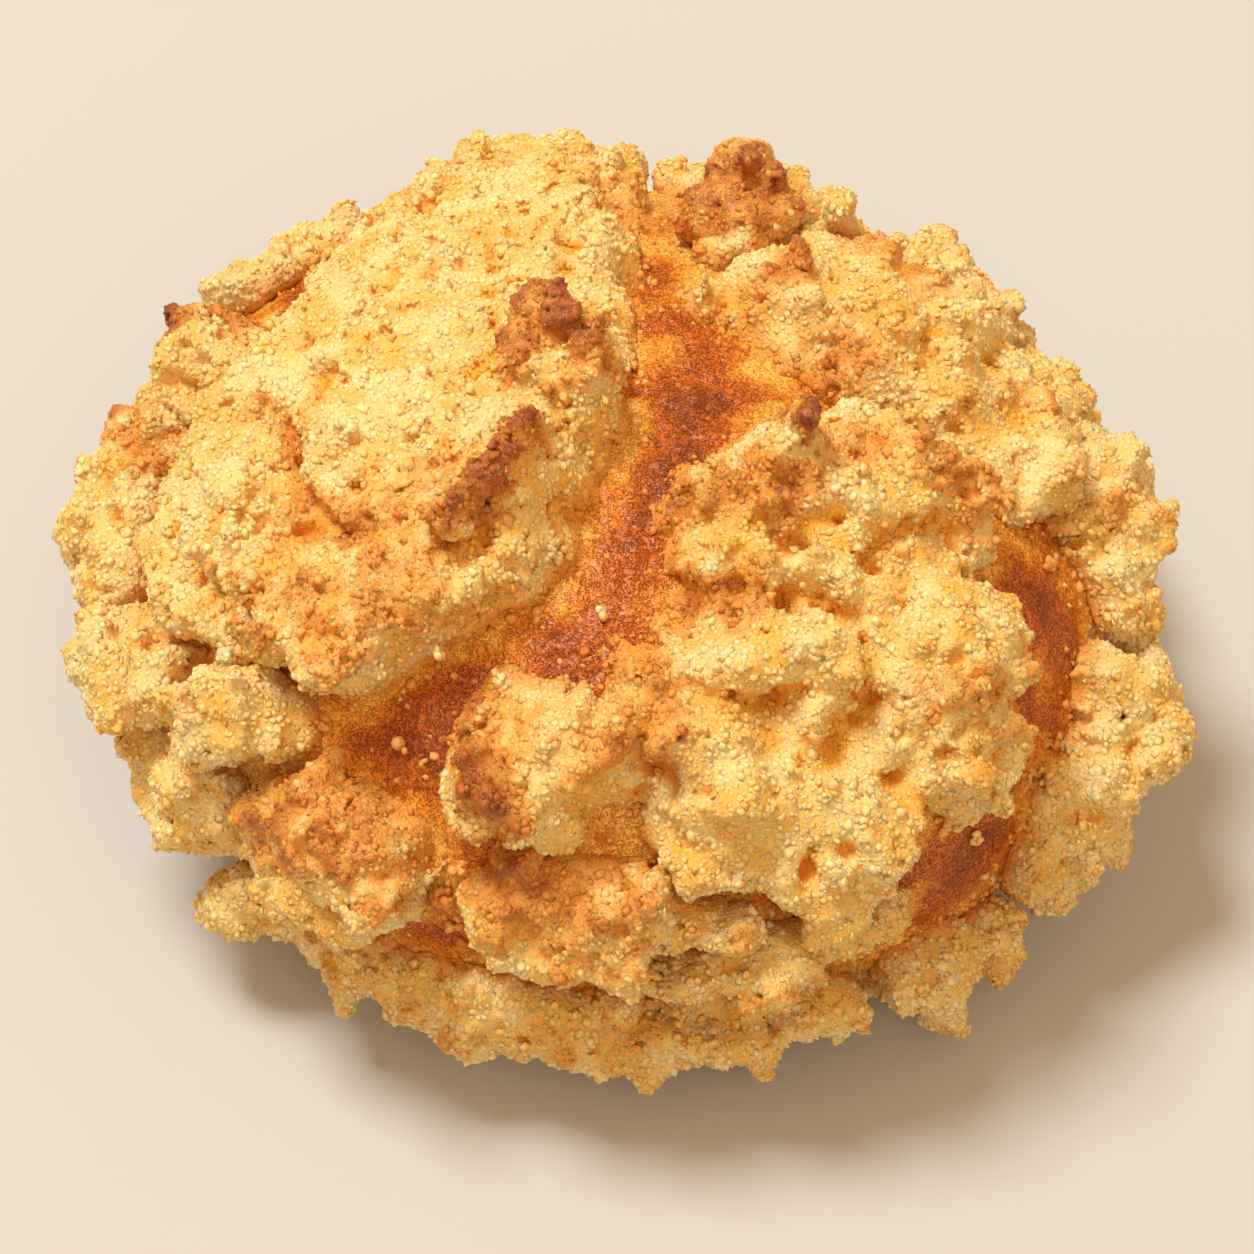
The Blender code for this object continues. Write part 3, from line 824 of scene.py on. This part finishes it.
# For each plate its seed, toasted places, piles and furrows.
OTHER_PLATES = {
    "streusel_rear_right": (
        3,
        (
            (8, 0.8, (31, 28), (34, 31)), (9, 0.6, (1, 29), (1, 34)),
            (10, 0.45, (3, 57), (0, 50)), (9, 0.45, (40, 44), (20, 46)),
        ),
        ((2.6, 1.2, (30, 28), (36, 31)), (2.6, 1.2, (1, 29), (1, 34))),
        (
            (2.0, 1.4, (9, 30), (356, 36), (354, 44)), (6, 5.0, *HEAD_CRACK),
            (6, 4.0, (66, 34), (50, 24), (30, 20), (9, 23)),
        ),
    ),
    "streusel_top_lump": (
        4, ((16, 0.9, (58, 38), (70, 38)),), ((3.5, 1.4, (56, 38), (68, 37)),), (),
    ),
    "streusel_left_edge": (5, ((7, 0.55, (158, 70), (168, 68), (180, 66)),), (), ()),
    "streusel_left_lump": (6, (), (), ()),
    "streusel_left_slab": (7, ((8, 0.3, (218, 69)),), (), ()),
    "streusel_left_low": (8, (), (), ()),
    "streusel_front_left": (
        9, ((22, 0.6, (228, 72), (240, 72)),), (),
        ((8, 5.0, (226, 66), (234, 66), (242, 67), (248, 72)),),
    ),
    "streusel_front": (
        10, ((16, 0.6, (253, 72), (268, 75)), (10, 0.4, (280, 76), (292, 75))), (),
        ((5, 6.0, *FRONT_CRACK),),
    ),
    "streusel_band": (11, (), (), ((5, 6.0, *FRONT_CRACK),)),
    "streusel_skirt": (
        12, ((30, 0.32, (235, 84), (270, 86), (305, 84)), (8, 0.55, (240, 79), (285, 81))), (),
        ((5, 6.0, *FRONT_CRACK),),
    ),
    "streusel_low_right": (13, (), (), ((6, 6.0, *RIGHT_CRACK),)),
    "streusel_right_edge": (14, (), (), ((8, 7.0, *RIGHT_CRACK),)),
    "streusel_right_lump": (15, ((9, 0.5, (353, 68)),), (), ((6, 6.0, *RIGHT_CRACK),)),
    "streusel_rear_edge": (16, (), (), ()),
    "streusel_rear_high": (17, (), (), ((9, 3.0, (50, 62), (40, 61)),)),
    "streusel_rear_low": (18, (), (), ()),
    "streusel_back_right": (19, (), (), ()),
    "streusel_back": (20, (), (), ((8, 2.2, (115, 61), (105, 61)),)),
    "streusel_back_left": (21, (), (), ()),
    "streusel_back_low": (22, (), (), ()),
}
for node, (seed, toasts, piles, furrows) in OTHER_PLATES.items():
    crumb_plate(node, seed, toasts, piles, furrows)

# ---------------------------------------------------------------------------
# Loose crumbs. Little clusters of sugary grains that fell from the rims of
# the plates as they cracked apart, and baked on where they lay.
# ---------------------------------------------------------------------------

# How far round and down each lies, in degrees, and how wide it is, in millimetres.
FALLEN_CRUMBS = (
    (250, 80, 2.6), (229, 66, 1.9), (251, 76, 1.3), (251, 84, 1.5), (252, 87, 1.1),
    (305, 71, 1.8), (307, 74, 1.4), (310, 78, 2.0), (313, 82, 1.4), (267, 43, 1.0),
    (240, 64, 1.1), (343, 66, 1.3), (333, 60, 1.0),
)


def fallen_crumbs():
    """Clusters of small grains, baked on to whatever bread lies under them."""
    rng = np.random.default_rng(40)
    middles, facings, browned = [], [], []
    for round_by, down_by, width in FALLEN_CRUMBS:
        step = way(round_by, down_by)
        start = Vector(ROLL_CENTRE + step * OUTSIDE)
        spot, facing = ROLL_SKIN.ray_cast(start, Vector(-step), OUTSIDE)[:2]
        tone = rng.uniform(0.3, 0.8)
        for _ in range(int(2 * width**2) + 2):
            scatter = rng.normal(0, 0.2 * width, 3) * MM
            middles.append(np.array(spot + facing * 0.2 * width * MM) + scatter)
            facings.append(facing)
            browned.append(tone)
    widths = rng.uniform(0.6, 1.2, len(middles)) * MM
    corners, faces, tops = lumps(np.array(middles), np.array(facings), widths, 0.9, rng, rough=0.2)
    mesh = mesh_from(corners, faces)
    per_lump = len(corners) // len(middles)
    # painted shade: each fallen grain is marked lighter at its top than at its sides
    for name, value in (("top", tops), ("toast", np.repeat(browned, per_lump))):
        mark(mesh, name, np.clip(value, 0, 1))
    for name, value in (("tint", 0.5), ("rise", 0.5), ("under", 0.0), ("thin", 0.2)):
        mark(mesh, name, np.full(len(corners), value))
    mesh.shade_smooth()
    mesh.materials.append(BAKED_CRUMB)
    crumbs = bpy.data.objects.new("fallen_crumbs", mesh)
    bpy.context.scene.collection.objects.link(crumbs)
    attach(crumbs, "root")


fallen_crumbs()

# ---------------------------------------------------------------------------
# The table, the lights and the camera. The bun lies on a matt, pale table top
# under a soft window high on the left, with a weak warm lamp in front.
# ---------------------------------------------------------------------------


def pale_table():
    """A wide flat top, painted a very slightly uneven off-white."""
    bpy.ops.mesh.primitive_grid_add(x_subdivisions=8, y_subdivisions=8, size=30.0)
    table = bpy.context.object
    table.name = "table"
    paint = Finish("pale_table")
    tone = paint.mix(paint.grain(60.0, 2.0, 0.0, 1.0), (0.485, 0.500, 0.500), (0.500, 0.515, 0.515))
    paint.set(Base_Color=tone, Roughness=0.85)
    paint.relief((paint.grain(1.2, 2.0, 0.0, 2.0), 0.02))
    table.data.materials.append(paint.material)


def soft_light(name, place, size, power, colour):
    """A round glowing disc that faces the bun."""
    lamp = bpy.data.lights.new(name, "AREA")
    lamp.shape = "DISK"
    lamp.size = size
    lamp.energy = power
    lamp.color = colour
    light = bpy.data.objects.new(name, lamp)
    light.location = place
    light.rotation_euler = (Vector((0, 0, 0.02)) - Vector(place)).to_track_quat("-Z", "Y").to_euler()
    bpy.context.scene.collection.objects.link(light)


pale_table()
soft_light("window", (-0.52, 0.24, 1.56), 0.55, 26.0, (0.97, 0.98, 0.93))
soft_light("fill", (0.3, -1.1, 1.1), 1.0, 5.0, (1.0, 0.88, 0.72))
sky = bpy.data.worlds.new("room")
sky.use_nodes = True
sky.node_tree.nodes["Background"].inputs["Color"].default_value = (1.0, 0.66, 0.36, 1.0)
sky.node_tree.nodes["Background"].inputs["Strength"].default_value = 0.76
bpy.context.scene.world = sky
bpy.context.scene.view_settings.view_transform = "Standard"

LOOKING_DOWN = math.radians(50)
DISTANCE = 0.370
aim = Vector((1.2, -4.7, 19.8)) * MM
lens = bpy.data.cameras.new("camera")
lens.lens = 100
lens.clip_start = 0.01
camera = bpy.data.objects.new("camera", lens)
camera.location = aim + Vector((0, -math.cos(LOOKING_DOWN), math.sin(LOOKING_DOWN))) * DISTANCE
camera.rotation_euler = (math.pi / 2 - LOOKING_DOWN, 0, 0)
bpy.context.scene.collection.objects.link(camera)
bpy.context.scene.camera = camera
